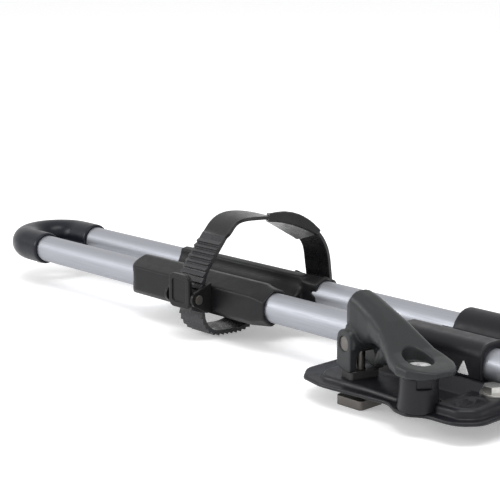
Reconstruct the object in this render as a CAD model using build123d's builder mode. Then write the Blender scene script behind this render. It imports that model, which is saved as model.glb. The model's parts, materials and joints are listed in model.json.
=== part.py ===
from build123d import *
import math
import os

# Roof-mounted bike carrier.
# Two parallel tubes stand on two clamp feet on a vehicle's roof bars, 0.7 m apart.
# Two wheel holders slide on the tubes, and a folding arm holds the bike's frame.
# Frame: +X along the tubes towards the front end loop, -Y the side with the levers,
# +Z up. The origin is the middle of the rear foot pad's underside, on the roof bar's centre line.

os.makedirs("parts", exist_ok=True)

# Tubes
TUBE_RADIUS = 10.0
TUBE_WALL = 1.5
TUBE_SPACING = 47.4
HALF_SPACING = TUBE_SPACING / 2
TUBE_HEIGHT = 20.0
REAR_TUBE_END = -361.0
FRONT_TUBE_END = 1014.0
SOCKET_DEPTH = 22.0

# Running fits and gaps between pieces that move on each other
RUNNING_FIT = 0.07
SLIDE_FIT = 0.09
GAP = 0.4

# End loops
LOOP_RADIUS = 12.2
LOOP_STRAIGHT = 20.0
WEB_TOP = -2.5
WEB_THICKNESS = 3.0

# Feet
FOOT_SPACING = 700.0
PLATE_TOP = 9.5
PLATE_THICKNESS = 2.4
FLANGE_BOTTOM = 1.6
FLANGE_TOP = FLANGE_BOTTOM + PLATE_THICKNESS
FLANGE_WIDTH = 3.6
PLATE_LEFT = -39.0
PLATE_RIGHT = 96.5
PLATE_NEAR = -83.5
PLATE_FAR = 84.0
BAY_RADIUS = 14.6
BEAD_TOP = 13.6
SADDLE_START = 2.0
FAR_SADDLE_START = 11.5
SADDLE_END = 67.0
SADDLE_HALF_WIDTH = 36.0
SADDLE_TOP = 33.5
FAR_BARREL_RADIUS = 15.0
SADDLE_BOLTS = (24.0, 52.0)
PLATE_BOLT = (80.0, -40.0)
T_BOLT_Y = 61.0
T_BOLT_RADIUS = 3.0
T_HEAD_SIZE = 20.0
T_HEAD_THICKNESS = 5.5
TRACK_LIP = 5.0

# Cam lever, drawn along +X from its T-bolt and then turned outwards
LEVER_SPLAY = 14.7
CAM_PIN_HEIGHT = 27.6
CAM_PIN_RADIUS = 4.4
TRUNNION_RADIUS = 6.0
WASHER_THICKNESS = 1.5
KNUCKLE_HALF_WIDTH = 12.0
KNUCKLE_BACK = -7.0
KNUCKLE_FRONT = 7.5
KNUCKLE_TOP = 36.0
POCKET_HALF_WIDTH = 7.6
ARCH_RADIUS = 7.4
ARCH_HEIGHT = 17.6
PAD_BOTTOM = 24.2
LOCK_SEAT = 28.4
LOCK_REACH = 58.5
LOCK_RADIUS = 7.5
POST_RADIUS = 12.3
POST_BORE = 8.2
# Cross-sections of the lever's arm: reach, bottom, top, half width and how far it stands aside
LEVER_SECTIONS = (
    (-4.6, 31.0, 50.0, 6.5, 0.4),
    (-3.4, 26.0, 55.0, 8.6, 0.8),
    (0.5, 21.0, 58.4, 9.6, 1.0),
    (8.0, 20.0, 57.4, 10.4, 1.4),
    (18.0, 24.0, 52.8, 11.8, 1.6),
    (30.0, 25.4, 46.6, 13.6, 1.4),
    (40.0, 25.0, 40.6, 15.4, 1.0),
    (50.0, 24.4, 34.8, 17.4, 0.4),
    (59.0, 24.2, 32.0, 18.6, 0.6),
    (67.5, 24.6, 30.6, 17.0, 1.4),
    (74.5, 25.6, 29.6, 11.0, 2.2),
)

# Wheel holders, drawn about the wheel's centre line with the tube axes at Z = 0
WHEEL_X = -156.0
HOLDER_SPACING = 1071.0
HOLDER_BACK = -87.5
HOLDER_FRONT = 35.0
HOLDER_RING_END = 48.0
HOLDER_HALF_WIDTH = 35.5
HOLDER_RIDGE = 7.6
HOLDER_TOP = 13.5
HOLDER_BOTTOM = -12.8
TROUGH_HALF_WIDTH = 14.5
TROUGH_BOTTOM = -2.0

# Strap and buckle
STRAP_WIDTH = 23.0
STRAP_THICKNESS = 2.4
TOOTH_PITCH = 4.0
TOOTH_HEIGHT = 1.3
BUCKLE_X = -16.0
STRAP_CHANNEL_Y = -40.2
BUCKLE_PIN_Y = -47.4
BUCKLE_PIN_Z = 0.6
BUCKLE_PIN_RADIUS = 2.0
CHEEK_INSIDE = 12.1
CHEEK_OUTSIDE = 14.3
ANCHOR_X = 23.0
ANCHOR_Y = 40.6
ANCHOR_Z = 2.0
LUG_INSIDE = 12.2
LUG_OUTSIDE = 15.5

# Frame arm, drawn lying along +X from its pivot and then raised
ARM_X = 626.0
ARM_Z = 48.0
ARM_RAISE = 68.0
ARM_TUBE_RADIUS = 12.5
ARM_TUBE_START = 20.0
ARM_TUBE_END = 440.0
HEAD_START = 430.0
HEAD_TOP = 462.0
HEAD_FIXED_SIDE = -38.0
HEAD_SCREW_SIDE = 80.0
SCREW_X = 455.0
SCREW_RADIUS = 4.0
SLOT_FLOOR = 447.0
SLOT_HALF_WIDTH = 7.0
JAW_END = 528.0
JAW_THICKNESS = 14.0
JAW_GAP = 36.0
JAW_PAD = 6.0
KNOB_RADIUS = 23.0
KNOB_LENGTH = 24.0

FOOT_PLACES = {"rear_": Location((0, 0, 0)), "front_": Location((FOOT_SPACING, 0, 0))}
HOLDER_PLACES = {
    "rear_": Location((WHEEL_X, 0, TUBE_HEIGHT)),
    "front_": Location((WHEEL_X + HOLDER_SPACING, 0, TUBE_HEIGHT)),
}
AT_HOME = Location((0, 0, 0))
LEVER_PLACE = Location((0, -T_BOLT_Y, 0), (0, 0, -LEVER_SPLAY))
RAISE = math.radians(ARM_RAISE)
ARM_PLANE = Plane(
    origin=(ARM_X, 0, ARM_Z),
    x_dir=(-math.cos(RAISE), 0, math.sin(RAISE)),
    z_dir=(math.sin(RAISE), 0, math.cos(RAISE)),
)


def save(builder, name, place=AT_HOME):
    """Moves a finished piece to its place, labels it and writes its file."""
    builder.part.label = name
    placed = builder.part.moved(place)
    placed.label = name
    export_step(placed, "parts/" + name + ".step")


def save_pair(builder, name, places, before=AT_HOME):
    """Writes the rear and the front copy of a piece."""
    for prefix, place in places.items():
        save(builder, prefix + name, place * before)


def across(x, y, z):
    """Plane at a point, whose normal points along +X and whose sketch X is +Y."""
    return Plane(origin=(x, y, z), x_dir=(0, 1, 0), z_dir=(1, 0, 0))


def sideways(y):
    """Plane at a depth y, whose normal points along -Y and whose sketch X is +X."""
    return Plane(origin=(0, y, 0), x_dir=(1, 0, 0), z_dir=(0, -1, 0))


# Frame tubes
for name, side in (("near_tube", -HALF_SPACING), ("far_tube", HALF_SPACING)):
    with BuildPart() as tube:
        with BuildSketch(across(REAR_TUBE_END - SOCKET_DEPTH, side, TUBE_HEIGHT)):
            Circle(TUBE_RADIUS)
            Circle(TUBE_RADIUS - TUBE_WALL, mode=Mode.SUBTRACT)
        extrude(amount=FRONT_TUBE_END - REAR_TUBE_END + 2 * SOCKET_DEPTH)
    save(tube, name)

# End loop: a U of round section that closes the two tube ends, with a sunken web
with BuildPart() as end_loop:
    with BuildLine() as loop_path:
        Line((0, -HALF_SPACING), (-LOOP_STRAIGHT, -HALF_SPACING))
        JernArc((-LOOP_STRAIGHT, -HALF_SPACING), (-1, 0), HALF_SPACING, -180)
        Line((-LOOP_STRAIGHT, HALF_SPACING), (0, HALF_SPACING))
    with BuildSketch(Plane(origin=(0, -HALF_SPACING, 0), x_dir=(0, 1, 0), z_dir=(-1, 0, 0))):
        Circle(LOOP_RADIUS)
    sweep(path=loop_path.line)
    chamfer(end_loop.faces().sort_by(Axis.X)[-2:].edges(), 1.2)
    with BuildSketch(Plane.XY.offset(WEB_TOP - WEB_THICKNESS)):
        with Locations((-LOOP_STRAIGHT, 0)):
            Circle(HALF_SPACING - 4)
        with Locations((-LOOP_STRAIGHT / 2 - 1, 0)):
            Rectangle(LOOP_STRAIGHT - 2, 2 * HALF_SPACING - 8)
    extrude(amount=WEB_THICKNESS)
    with BuildSketch(Plane.XY.offset(WEB_TOP - WEB_THICKNESS)):
        with Locations((-LOOP_STRAIGHT + 2, 0)):
            SlotOverall(18, 8, rotation=90)
    extrude(amount=WEB_THICKNESS, mode=Mode.SUBTRACT)
    for side in (-HALF_SPACING, HALF_SPACING):
        with BuildSketch(across(-SOCKET_DEPTH, side, 0)):
            Circle(TUBE_RADIUS)
        extrude(amount=SOCKET_DEPTH + 1, mode=Mode.SUBTRACT)
    with Locations(*[(-9, side, -LOOP_RADIUS + 1.1) for side in (-HALF_SPACING, HALF_SPACING)]):
        Cylinder(4.2, 2.2, mode=Mode.SUBTRACT)

LOOP_PLACES = {
    "rear_": Location((REAR_TUBE_END, 0, TUBE_HEIGHT)),
    "front_": Location((FRONT_TUBE_END, 0, TUBE_HEIGHT), (0, 0, 180)),
}
save_pair(end_loop, "end_loop", LOOP_PLACES)

with BuildPart() as end_loop_screws:
    for x in (REAR_TUBE_END - 9, FRONT_TUBE_END + 9):
        for side in (-HALF_SPACING, HALF_SPACING):
            with BuildSketch(Plane.XY.offset(TUBE_HEIGHT - LOOP_RADIUS)):
                with Locations((x, side)):
                    Circle(3.9)
                    RegularPolygon(1.8, 6, mode=Mode.SUBTRACT)
            extrude(amount=1.8)
save(end_loop_screws, "end_loop_screws")

# Foot: stamped base plate, a raised body inside an outward flange.
# The body leaves a bay round the lock post, which stands on the flange.
PLATE_OUTLINE = (
    (PLATE_LEFT, -66),
    (PLATE_LEFT + 10, -79),
    (-11, PLATE_NEAR),
    (37.4, PLATE_NEAR + 4),
    (47, -86),
    (57, -89.4),
    (66, -82),
    (PLATE_RIGHT - 10, PLATE_NEAR + 2.5),
    (PLATE_RIGHT, -70),
    (PLATE_RIGHT, PLATE_FAR - 18),
    (PLATE_RIGHT - 20, PLATE_FAR),
    (PLATE_LEFT + 18, PLATE_FAR),
    (PLATE_LEFT, PLATE_FAR - 16),
)
PLATE_CORNERS = (14, 8, 30, 12, 10, 8, 12, 14, 14, 16, 18, 16, 14)
POST_X = LOCK_REACH * math.cos(math.radians(LEVER_SPLAY))
POST_Y = -T_BOLT_Y - LOCK_REACH * math.sin(math.radians(LEVER_SPLAY))


with BuildSketch() as plate_outline:
    with BuildLine():
        FilletPolyline(*PLATE_OUTLINE, radius=PLATE_CORNERS, close=True)
    make_face()

with BuildPart() as base_plate:
    with BuildSketch(Plane.XY.offset(FLANGE_BOTTOM)):
        add(plate_outline.sketch)
        offset(amount=-FLANGE_WIDTH, mode=Mode.REPLACE)
    extrude(amount=PLATE_TOP - FLANGE_BOTTOM)
    fillet(base_plate.faces().sort_by(Axis.Z)[-1].edges(), 2.6)
    with BuildSketch(Plane.XY.offset(FLANGE_BOTTOM)):
        with Locations((POST_X, POST_Y)):
            Circle(BAY_RADIUS)
        with Locations((POST_X, POST_Y)):
            Rectangle(2 * BAY_RADIUS, 40, align=(Align.CENTER, Align.MAX))
    extrude(amount=PLATE_TOP, mode=Mode.SUBTRACT)
    with BuildSketch(Plane.XY.offset(FLANGE_BOTTOM)):
        add(plate_outline.sketch)
    extrude(amount=PLATE_THICKNESS)
    with BuildSketch(Plane.XY.offset(FLANGE_BOTTOM)):
        add(plate_outline.sketch)
        offset(amount=-FLANGE_WIDTH - PLATE_THICKNESS, mode=Mode.REPLACE)
        with Locations((POST_X, POST_Y)):
            Circle(BAY_RADIUS + PLATE_THICKNESS, mode=Mode.SUBTRACT)
        with Locations((POST_X, POST_Y)):
            Rectangle(
                2 * (BAY_RADIUS + PLATE_THICKNESS), 40, align=(Align.CENTER, Align.MAX), mode=Mode.SUBTRACT
            )
    extrude(amount=PLATE_TOP - PLATE_THICKNESS - FLANGE_BOTTOM, mode=Mode.SUBTRACT)
    # Beads pressed up along both sides of the saddle
    for side, wall in ((-1, SADDLE_HALF_WIDTH + 0.1), (1, HALF_SPACING + FAR_BARREL_RADIUS + 0.1)):
        with BuildSketch(across(SADDLE_START - 6, 0, 0)):
            with BuildLine():
                Polyline(
                    (side * wall, PLATE_TOP - 1),
                    (side * wall, BEAD_TOP),
                    (side * (wall + 2), BEAD_TOP),
                    (side * (wall + 9), PLATE_TOP - 1),
                    close=True,
                )
            make_face()
        extrude(amount=SADDLE_END - SADDLE_START + 10.5)
    # Dished lobe with a pressed slot
    with BuildSketch(Plane.XY.offset(PLATE_TOP)):
        with Locations((PLATE_RIGHT - 16, -60)):
            SlotOverall(26, 17, rotation=90)
    extrude(amount=-0.8, mode=Mode.SUBTRACT)
    with BuildSketch(Plane.XY.offset(PLATE_TOP)):
        with Locations((PLATE_RIGHT - 19, -58)):
            SlotOverall(19, 5, rotation=72)
    extrude(amount=-1.5, mode=Mode.SUBTRACT)
    with BuildSketch(Plane.XY.offset(BEAD_TOP)):
        with Locations((0, -T_BOLT_Y), (0, T_BOLT_Y)):
            SlotOverall(11, 6.8)
        with Locations(*[(x, 0) for x in SADDLE_BOLTS]):
            Circle(4.2)
        with Locations(PLATE_BOLT):
            Circle(3.6)
    extrude(amount=-BEAD_TOP, mode=Mode.SUBTRACT)
save_pair(base_plate, "base_plate", FOOT_PLACES)

with BuildPart() as rubber_pad:
    with BuildSketch(Plane.XY):
        add(plate_outline.sketch)
        offset(amount=-FLANGE_WIDTH - PLATE_THICKNESS - 0.3, mode=Mode.REPLACE)
        with Locations((3, 0)):
            Rectangle(64, 220, mode=Mode.INTERSECT)
        with Locations((0, -T_BOLT_Y), (0, T_BOLT_Y)):
            Circle(5.5, mode=Mode.SUBTRACT)
        with Locations((SADDLE_BOLTS[0], 0)):
            Circle(8, mode=Mode.SUBTRACT)
    extrude(amount=PLATE_TOP - PLATE_THICKNESS)
    with BuildSketch(Plane.XY):
        with Locations((3, -5)):
            with GridLocations(0, 20, 1, 7):
                Rectangle(44, 2.5)
    extrude(amount=1.0, mode=Mode.SUBTRACT)
save_pair(rubber_pad, "rubber_pad", FOOT_PLACES)

# Tube saddle: one moulding that grips both tubes, bolted through the plate.
# The far side is a plain round barrel, the near side a flat wall with a rounded top.
with BuildPart() as tube_saddle:
    with BuildSketch(across(SADDLE_START, 0, 0)):
        with BuildLine():
            FilletPolyline(
                (-SADDLE_HALF_WIDTH, PLATE_TOP),
                (-SADDLE_HALF_WIDTH, SADDLE_TOP),
                (-14, SADDLE_TOP),
                (-9, 24),
                (12, 24),
                (12, PLATE_TOP),
                radius=(0, 9, 7, 4, 0, 0),
                close=True,
            )
        make_face()
    extrude(amount=SADDLE_END - SADDLE_START)
    with BuildSketch(across(FAR_SADDLE_START, 0, 0)):
        with Locations((HALF_SPACING, TUBE_HEIGHT)):
            Circle(FAR_BARREL_RADIUS)
        with Locations((HALF_SPACING - 0.6, PLATE_TOP)):
            Rectangle(2 * (SADDLE_HALF_WIDTH - HALF_SPACING) + 1.2, 14, align=(Align.CENTER, Align.MIN))
        with Locations((0, PLATE_TOP - 20)):
            Rectangle(200, 20, align=(Align.CENTER, Align.MIN), mode=Mode.SUBTRACT)
    extrude(amount=SADDLE_END - FAR_SADDLE_START)
    with BuildSketch(across(SADDLE_END, 0, 0)):
        with BuildLine():
            FilletPolyline(
                (-SADDLE_HALF_WIDTH, PLATE_TOP + 1),
                (-SADDLE_HALF_WIDTH, SADDLE_TOP + 0.8),
                (-13, SADDLE_TOP + 0.8),
                (-9, 22),
                (-9, PLATE_TOP + 1),
                radius=(0, 9, 7, 4, 0),
                close=True,
            )
        make_face()
    extrude(amount=1.6)
    for side in (-HALF_SPACING, HALF_SPACING):
        with BuildSketch(across(SADDLE_START - 1, side, TUBE_HEIGHT)):
            Circle(TUBE_RADIUS)
        extrude(amount=SADDLE_END - SADDLE_START + 4, mode=Mode.SUBTRACT)
    with Locations(*[(x, 0, 24) for x in SADDLE_BOLTS]):
        CounterBoreHole(4.2, 7.5, 7, depth=24)
save_pair(tube_saddle, "tube_saddle", FOOT_PLACES)

with BuildPart() as foot_fasteners:
    for x in SADDLE_BOLTS:
        with BuildSketch(Plane.XY.offset(17)):
            with Locations((x, 0)):
                Circle(6.5)
                RegularPolygon(3.2, 6, mode=Mode.SUBTRACT)
        extrude(amount=6)
        with BuildSketch(Plane.XY.offset(2.0)):
            with Locations((x, 0)):
                Circle(4.0)
        extrude(amount=15.2)
        with BuildSketch(Plane.XY.offset(2.0)):
            with Locations((x, 0)):
                RegularPolygon(7.0, 6)
        extrude(amount=4.4)
    with BuildSketch(Plane.XY.offset(PLATE_TOP)):
        with Locations(PLATE_BOLT):
            Circle(7.4)
    extrude(amount=1.4)
    with BuildSketch(Plane.XY.offset(PLATE_TOP + 1.4)):
        with Locations(PLATE_BOLT):
            RegularPolygon(5.8, 6)
    extrude(amount=4.0)
    with BuildSketch(Plane.XY.offset(2.5)):
        with Locations(PLATE_BOLT):
            Circle(3.5)
    extrude(amount=7.5)
save_pair(foot_fasteners, "foot_fasteners", FOOT_PLACES)


def make_t_bolt(top):
    """T-bolt whose square head runs in the roof bar's track, under the track's lips."""
    with BuildPart() as t_bolt:
        with BuildSketch(Plane.XY.offset(-TRACK_LIP - T_HEAD_THICKNESS)):
            RectangleRounded(T_HEAD_SIZE, T_HEAD_SIZE, 2.5)
        extrude(amount=T_HEAD_THICKNESS)
        with BuildSketch(Plane.XY.offset(-TRACK_LIP)):
            Circle(T_BOLT_RADIUS)
        extrude(amount=TRACK_LIP + top)
        chamfer(t_bolt.faces().sort_by(Axis.Z)[-1].edges(), 0.8)
    return t_bolt


near_place = Location((0, -T_BOLT_Y, 0))
far_place = Location((0, T_BOLT_Y, 0))
save_pair(make_t_bolt(CAM_PIN_HEIGHT + 5.4), "near_t_bolt", FOOT_PLACES, near_place)
save_pair(make_t_bolt(20.0), "far_t_bolt", FOOT_PLACES, far_place)

with BuildPart() as far_nut:
    with BuildSketch(Plane.XY.offset(PLATE_TOP)):
        Circle(11)
    extrude(amount=1.6)
    with BuildSketch(Plane.XY.offset(PLATE_TOP + 1.6)):
        RegularPolygon(6.4, 6)
    extrude(amount=6)
    with BuildSketch(Plane.XY.offset(PLATE_TOP)):
        Circle(T_BOLT_RADIUS)
    extrude(amount=9, mode=Mode.SUBTRACT)
save_pair(far_nut, "far_nut", FOOT_PLACES, far_place)

# Cam clamp: cross pin on the T-bolt, wear plate, lever, lock
with BuildPart() as cam_pin:
    with BuildSketch(sideways(POCKET_HALF_WIDTH - 0.3)):
        with Locations((0, CAM_PIN_HEIGHT)):
            Circle(TRUNNION_RADIUS)
    extrude(amount=2 * (POCKET_HALF_WIDTH - 0.3))
    with BuildSketch(sideways(KNUCKLE_HALF_WIDTH - 0.8)):
        with Locations((0, CAM_PIN_HEIGHT)):
            Circle(CAM_PIN_RADIUS)
    extrude(amount=2 * (KNUCKLE_HALF_WIDTH - 0.8))
    with BuildSketch(Plane.XY.offset(CAM_PIN_HEIGHT - 10)):
        Circle(T_BOLT_RADIUS)
    extrude(amount=20, mode=Mode.SUBTRACT)
save_pair(cam_pin, "cam_pin", FOOT_PLACES, LEVER_PLACE)

with BuildPart() as cam_washer:
    with BuildSketch(Plane.XY.offset(PLATE_TOP)):
        RectangleRounded(19, 27, 3)
        Circle(T_BOLT_RADIUS + 0.6, mode=Mode.SUBTRACT)
    extrude(amount=WASHER_THICKNESS)
save_pair(cam_washer, "cam_washer", FOOT_PLACES, LEVER_PLACE)

CAM_BOTTOM = PLATE_TOP + WASHER_THICKNESS + GAP
with BuildPart() as cam_lever:
    # Knuckle: its lower back edge is drawn in, so that it clears the plate when it turns
    with BuildSketch(sideways(KNUCKLE_HALF_WIDTH)):
        with BuildLine():
            FilletPolyline(
                (0, CAM_BOTTOM),
                (KNUCKLE_FRONT, CAM_BOTTOM),
                (KNUCKLE_FRONT, KNUCKLE_TOP),
                (KNUCKLE_BACK, KNUCKLE_TOP),
                (KNUCKLE_BACK, CAM_BOTTOM + 2.0),
                radius=(0, 1, 5, 5, 1),
                close=True,
            )
        make_face()
    extrude(amount=2 * KNUCKLE_HALF_WIDTH)
    side_faces = cam_lever.faces().filter_by(Axis.Y)
    fillet(side_faces.edges(), 0.9)
    # Arm: a tall narrow fin that flattens into the wide pad
    for reach, low, high, half_width, aside in LEVER_SECTIONS:
        with BuildSketch(across(reach, aside, (low + high) / 2)):
            RectangleRounded(2 * half_width, high - low, 0.8 * min(half_width, (high - low) / 2))
    loft()
    # Pocket for the T-bolt and its cross pin, open below and behind, with an arch in front
    with BuildSketch(sideways(POCKET_HALF_WIDTH)):
        with Locations((0, CAM_PIN_HEIGHT)):
            Circle(TRUNNION_RADIUS + 0.6)
        with Locations((KNUCKLE_BACK - 1, CAM_BOTTOM - 1)):
            Rectangle(
                T_BOLT_RADIUS + 0.6 - KNUCKLE_BACK + 1,
                CAM_PIN_HEIGHT + T_BOLT_RADIUS + 1 - CAM_BOTTOM,
                align=(Align.MIN, Align.MIN),
            )
    extrude(amount=2 * POCKET_HALF_WIDTH, mode=Mode.SUBTRACT)
    with BuildSketch(across(0, 0, 0)):
        with Locations((0, ARCH_HEIGHT)):
            Circle(ARCH_RADIUS)
        with Locations((0, ARCH_HEIGHT)):
            Rectangle(2 * ARCH_RADIUS, 10, align=(Align.CENTER, Align.MAX))
    extrude(amount=20, mode=Mode.SUBTRACT)
    with BuildSketch(sideways(30)):
        with Locations((0, CAM_PIN_HEIGHT)):
            Circle(CAM_PIN_RADIUS + RUNNING_FIT)
    extrude(amount=60, mode=Mode.SUBTRACT)
    # Lock seat: an oval dish in the pad and the barrel's bore
    with BuildSketch(Plane.XY.offset(LOCK_SEAT - 0.4)):
        with Locations((LOCK_REACH - 2.6, 0)):
            Ellipse(11, 9)
    extrude(amount=20, mode=Mode.SUBTRACT)
    with BuildSketch(Plane.XY):
        with Locations((LOCK_REACH, 0)):
            Circle(LOCK_RADIUS + RUNNING_FIT)
    extrude(amount=40, mode=Mode.SUBTRACT)
save_pair(cam_lever, "cam_lever", FOOT_PLACES, LEVER_PLACE)

with BuildPart() as lock_barrel:
    with BuildSketch(Plane.XY.offset(16)):
        with Locations((LOCK_REACH, 0)):
            Circle(LOCK_RADIUS)
    extrude(amount=LOCK_SEAT - 16)
    chamfer(lock_barrel.faces().sort_by(Axis.Z)[-1].edges(), 0.7)
    with BuildSketch(Plane.XY.offset(LOCK_SEAT)):
        with Locations((LOCK_REACH, 0)):
            SlotOverall(7.5, 1.8)
    extrude(amount=-3, mode=Mode.SUBTRACT)
save_pair(lock_barrel, "lock_barrel", FOOT_PLACES, LEVER_PLACE)

with BuildPart() as lock_post:
    with BuildSketch(Plane.XZ):
        with BuildLine():
            Polyline(
                (POST_BORE, FLANGE_TOP + 6),
                (0, FLANGE_TOP + 6),
                (0, FLANGE_TOP),
                (POST_RADIUS + 0.6, FLANGE_TOP),
                (POST_RADIUS + 0.4, FLANGE_TOP + 3),
                (POST_RADIUS, FLANGE_TOP + 9),
                (POST_RADIUS - 0.5, PAD_BOTTOM - GAP),
                (POST_BORE, PAD_BOTTOM - GAP),
                close=True,
            )
        make_face()
    revolve(axis=Axis.Z)
    with BuildSketch(across(POST_BORE - 1, 0, 0)):
        with Locations((0, 17.6)):
            Rectangle(9, 10, align=(Align.CENTER, Align.MIN))
    extrude(amount=8, mode=Mode.SUBTRACT)
save_pair(lock_post, "lock_post", FOOT_PLACES, LEVER_PLACE * Location((LOCK_REACH, 0, 0)))

# Wheel holder: two sleeves on the tubes joined by a trough for the tyre
with BuildPart() as wheel_holder:
    with BuildSketch(across(HOLDER_BACK, 0, 0)):
        with BuildLine():
            Polyline(
                (-TROUGH_HALF_WIDTH, 12.5),
                (-20, HOLDER_TOP),
                (-HOLDER_HALF_WIDTH, HOLDER_RIDGE),
                (-HOLDER_HALF_WIDTH, -9),
                (-32, HOLDER_BOTTOM),
                (32, HOLDER_BOTTOM),
                (HOLDER_HALF_WIDTH, -9),
                (HOLDER_HALF_WIDTH, HOLDER_RIDGE),
                (20, HOLDER_TOP),
                (TROUGH_HALF_WIDTH, 12.5),
            )
            ThreePointArc((TROUGH_HALF_WIDTH, 12.5), (0, TROUGH_BOTTOM), (-TROUGH_HALF_WIDTH, 12.5))
        make_face()
    extrude(amount=HOLDER_FRONT - HOLDER_BACK)
    end_corners = wheel_holder.edges().filter_by(Axis.Z).group_by(Axis.X)[0]
    fillet(end_corners, 9)
    # Bevelled ends that run down to a ring round each tube
    for side in (-1, 1):
        with BuildSketch(across(HOLDER_FRONT, 0, 0)) as bevel_root:
            with BuildLine():
                Polyline(
                    (side * HOLDER_HALF_WIDTH, -9),
                    (side * HOLDER_HALF_WIDTH, HOLDER_RIDGE),
                    (side * 20, HOLDER_TOP),
                    (side * 13.2, 10.5),
                    (side * 12.2, HOLDER_BOTTOM),
                    (side * 32, HOLDER_BOTTOM),
                    close=True,
                )
            make_face()
        with BuildSketch(across(HOLDER_RING_END, 0, 0)) as bevel_end:
            with BuildLine():
                Polyline(
                    (side * 35.2, -6),
                    (side * 35.2, 5.5),
                    (side * 25, 12.6),
                    (side * 14.5, 9.4),
                    (side * 12.4, -7),
                    (side * 27, -12.4),
                    close=True,
                )
            make_face()
        loft(ruled=True)
    for side in (-HALF_SPACING, HALF_SPACING):
        with BuildSketch(across(HOLDER_BACK - 1, side, 0)):
            Circle(TUBE_RADIUS + SLIDE_FIT)
        extrude(amount=HOLDER_RING_END - HOLDER_BACK + 2, mode=Mode.SUBTRACT)
    # Pockets between the ribs on the underside
    with BuildSketch(Plane.XY.offset(HOLDER_BOTTOM)):
        with Locations(((HOLDER_BACK + HOLDER_FRONT) / 2, 0)):
            with GridLocations(29, 0, 4, 1):
                Rectangle(25, 20)
    extrude(amount=6, mode=Mode.SUBTRACT)
    # Lugs for the strap's fixed end on the far wall
    for x in (ANCHOR_X - LUG_OUTSIDE, ANCHOR_X + LUG_INSIDE):
        with BuildSketch(across(x, 0, 0)):
            with BuildLine():
                Polyline((35, -8), (ANCHOR_Y, ANCHOR_Z - 5), (ANCHOR_Y, ANCHOR_Z + 5), (35, 10), close=True)
            make_face()
            with Locations((ANCHOR_Y, ANCHOR_Z)):
                Circle(5)
        extrude(amount=LUG_OUTSIDE - LUG_INSIDE)
    with BuildSketch(across(ANCHOR_X - 20, ANCHOR_Y, ANCHOR_Z)):
        Circle(2.0)
    extrude(amount=40, mode=Mode.SUBTRACT)
save_pair(wheel_holder, "wheel_holder", HOLDER_PLACES)

with BuildPart() as strap_pin:
    with BuildSketch(across(ANCHOR_X - LUG_OUTSIDE, ANCHOR_Y, ANCHOR_Z)):
        Circle(2.0)
    extrude(amount=2 * LUG_OUTSIDE)
    for x in (ANCHOR_X - LUG_OUTSIDE - 1.2, ANCHOR_X + LUG_OUTSIDE):
        with BuildSketch(across(x, ANCHOR_Y, ANCHOR_Z)):
            Circle(3.2)
        extrude(amount=1.2)
save_pair(strap_pin, "strap_pin", HOLDER_PLACES)

# Strap: a toothed band from its tail up through the buckle, then a smooth band over the rim
STRAP_JOIN = (-19.5, 38.5)
with BuildLine() as strap_route:
    FilletPolyline(
        STRAP_JOIN,
        (STRAP_CHANNEL_Y, 14),
        (STRAP_CHANNEL_Y, -25.4),
        (-2, -28.0),
        (20, -16.5),
        radius=(24, 16, 30),
    )
route = strap_route.line.wires()[0]
TOOTH_COUNT = int((route.length - 8) / TOOTH_PITCH)

STRAP_STATIONS = (
    ((BUCKLE_X, -19.5, 38.5), (0, 0.656, 0.755)),
    ((-15, -9.5, 47.4), (0.15, 0.8, 0.55)),
    ((-10, 1, 50.2), (0.45, 0.88, 0.1)),
    ((2, 13, 49.2), (0.65, 0.72, -0.18)),
    ((14, 24, 45.6), (0.6, 0.62, -0.5)),
    ((22, 34, 36.5), (0.35, 0.45, -0.82)),
    ((ANCHOR_X, 40.4, 24), (0, 0.2, -0.98)),
    ((ANCHOR_X, 42.4, 12), (0, 0.1, -1)),
    ((ANCHOR_X, ANCHOR_Y + 2.6, ANCHOR_Z + 2), (0, 0, -1)),
)


def strap_plane(station):
    """Plane across the strap: its X is the strap's width and its normal runs along the strap."""
    centre, along = station
    heading = Vector(*along).normalized()
    width = Vector(1, 0, 0) - heading * heading.X
    return Plane(origin=centre, x_dir=width, z_dir=heading)


with BuildPart() as strap:
    with BuildSketch(across(BUCKLE_X - STRAP_WIDTH / 2, 0, 0)):
        trace(route, line_width=STRAP_THICKNESS)
        for tooth in range(TOOTH_COUNT):
            share = (6 + tooth * TOOTH_PITCH) / route.length
            spot = route @ share
            heading = route % share
            lean = math.degrees(math.atan2(heading.Y, heading.X))
            with Locations(Location((spot.X, spot.Y, 0), lean)):
                Polygon(
                    (-1.6, 0),
                    (1.9, 0),
                    (1.9, -STRAP_THICKNESS / 2),
                    (1.3, -STRAP_THICKNESS / 2 - TOOTH_HEIGHT),
                    (-1.6, -STRAP_THICKNESS / 2),
                    align=None,
                )
    extrude(amount=STRAP_WIDTH)
    for station in STRAP_STATIONS:
        with BuildSketch(strap_plane(station)):
            Rectangle(STRAP_WIDTH, STRAP_THICKNESS)
    loft()
    with BuildSketch(across(ANCHOR_X - STRAP_WIDTH / 2, ANCHOR_Y, ANCHOR_Z)):
        Circle(4.2)
    extrude(amount=STRAP_WIDTH)
    with BuildSketch(across(ANCHOR_X - STRAP_WIDTH / 2, ANCHOR_Y, ANCHOR_Z)):
        Circle(2.0)
    extrude(amount=STRAP_WIDTH, mode=Mode.SUBTRACT)
save_pair(strap, "strap", HOLDER_PLACES)

with BuildPart() as rim_guard:
    for station, width, depth in (
        (STRAP_STATIONS[3], 25, 6.0),
        (STRAP_STATIONS[4], 26, 9.0),
        (STRAP_STATIONS[5], 25, 5.0),
    ):
        with BuildSketch(strap_plane(station)):
            Rectangle(width, depth)
    loft()
    add(strap.part, mode=Mode.SUBTRACT)
save_pair(rim_guard, "rim_guard", HOLDER_PLACES)

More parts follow.
